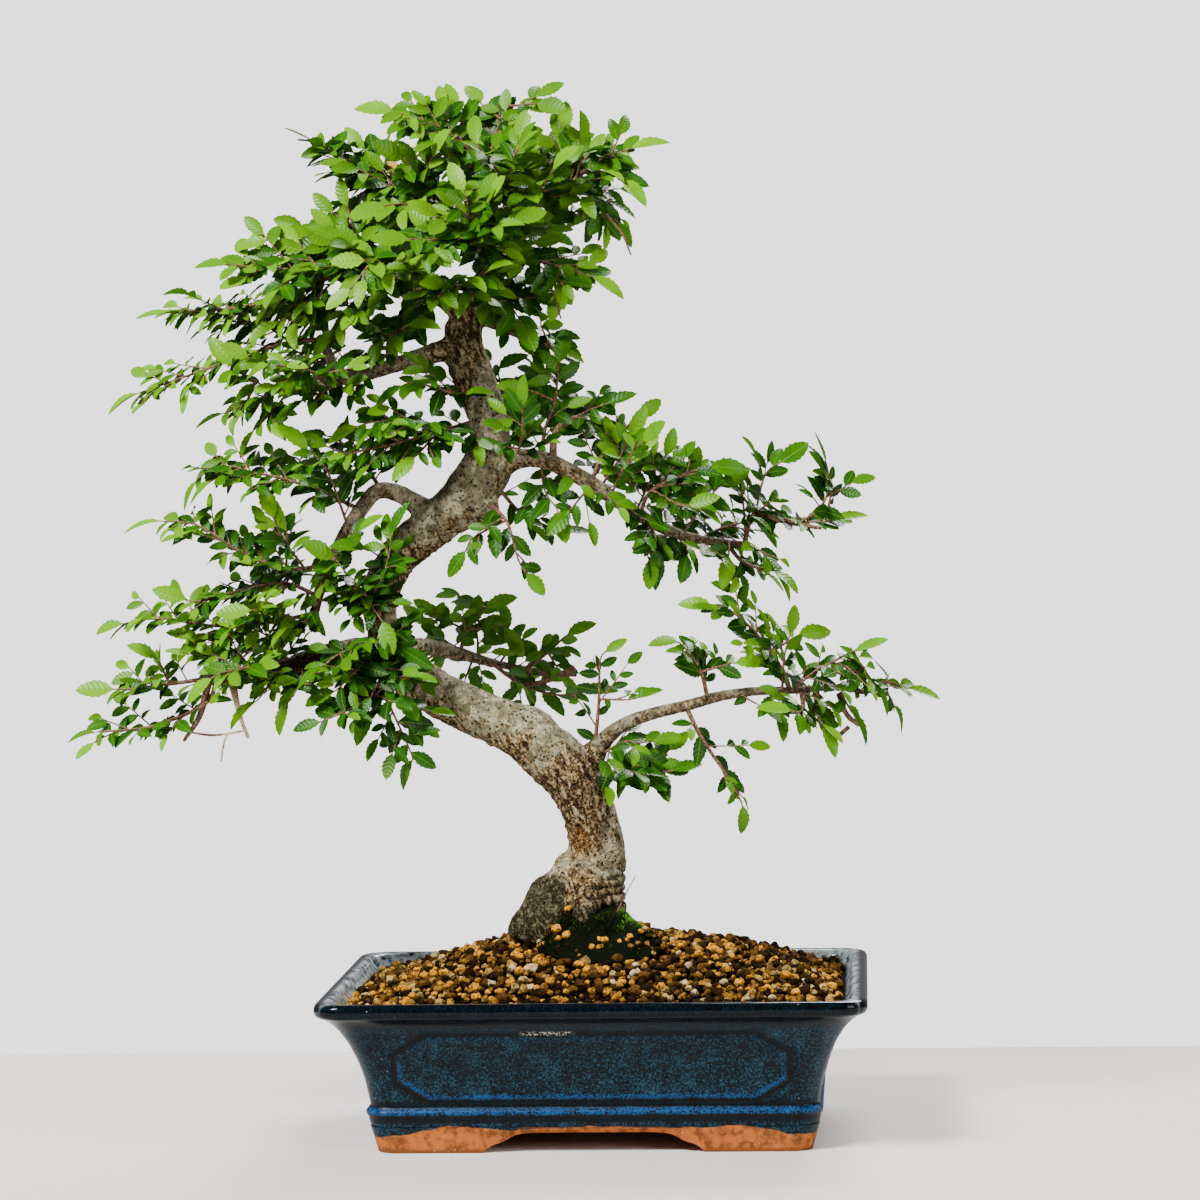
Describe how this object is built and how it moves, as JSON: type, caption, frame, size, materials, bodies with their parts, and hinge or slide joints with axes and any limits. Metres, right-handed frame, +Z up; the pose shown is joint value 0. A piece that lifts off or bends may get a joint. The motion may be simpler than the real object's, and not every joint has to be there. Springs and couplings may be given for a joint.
{
  "type": "bonsai tree in a pot",
  "caption": "Bonsai tree with a curved trunk, flaring roots and airy leafy sprays, in gravel in a rectangular glazed pot on bracket feet.",
  "frame": {"origin": "middle of the whole outline, at the level of the pot's feet", "axes": "+Z up the tree, +Y towards the back, +X to the right as seen from the front, along the pot's length"},
  "size_m": [0.426, 0.2078, 0.5108],
  "materials": {
    "glaze": "gloss",
    "bark": "matte",
    "foliage": "satin",
    "earth": "matte",
    "stones": "matte",
    "moss": "matte",
    "mesh": "matte"
  },
  "bodies": {
    "root": {"pot": "glaze", "drain_mesh_left": "mesh", "drain_mesh_right": "mesh", "soil": "earth", "gravel": "stones", "moss": "moss", "trunk": "bark", "spray_crown_top": "foliage", "spray_crown_right": "foliage", "spray_crown_left_high": "foliage", "spray_crown_left_stem": "foliage", "spray_crown_left_mid": "foliage", "spray_crown_left_low": "foliage", "spray_crown_left_back": "foliage", "spray_crown_left_front": "foliage", "spray_crown_front": "foliage", "spray_crown_back": "foliage", "spray_crown_right_low": "foliage", "spray_crown_front_low": "foliage", "spray_crown_under_right": "foliage", "spray_high_left_far": "foliage", "spray_high_left_end": "foliage", "spray_high_left_front": "foliage", "spray_high_left_back": "foliage", "spray_high_left_inner": "foliage", "spray_mid_left_twig": "foliage", "spray_mid_left_drop": "foliage", "spray_mid_left_long": "foliage", "spray_mid_left_up": "foliage", "spray_shelf_curl": "foliage", "spray_shelf_mid": "foliage", "spray_shelf_far": "foliage", "spray_low_left_tip": "foliage", "spray_low_left_top": "foliage", "spray_low_left_under": "foliage", "spray_low_left_back": "foliage", "spray_low_left_front": "foliage", "spray_front_low": "foliage", "spray_front_mid": "foliage", "spray_back_low": "foliage", "spray_back_low_right": "foliage", "spray_back_low_under": "foliage", "spray_upright_twig": "foliage", "spray_trunk_side": "foliage", "spray_right_low_hang": "foliage", "spray_right_low_fork": "foliage", "spray_right_low_up": "foliage", "spray_right_low_end": "foliage", "spray_right_low_under": "foliage", "spray_right_mid_up": "foliage", "spray_right_mid_top": "foliage", "spray_right_mid_mid": "foliage", "spray_right_mid_tip": "foliage", "spray_right_mid_back": "foliage", "spray_right_mid_under": "foliage", "spray_right_mid_drop": "foliage", "spray_trunk_hang": "foliage", "spray_trunk_hang_right": "foliage", "spray_back_high": "foliage", "spray_crown_left_shoulder": "foliage"}
  },
  "joints": []
}
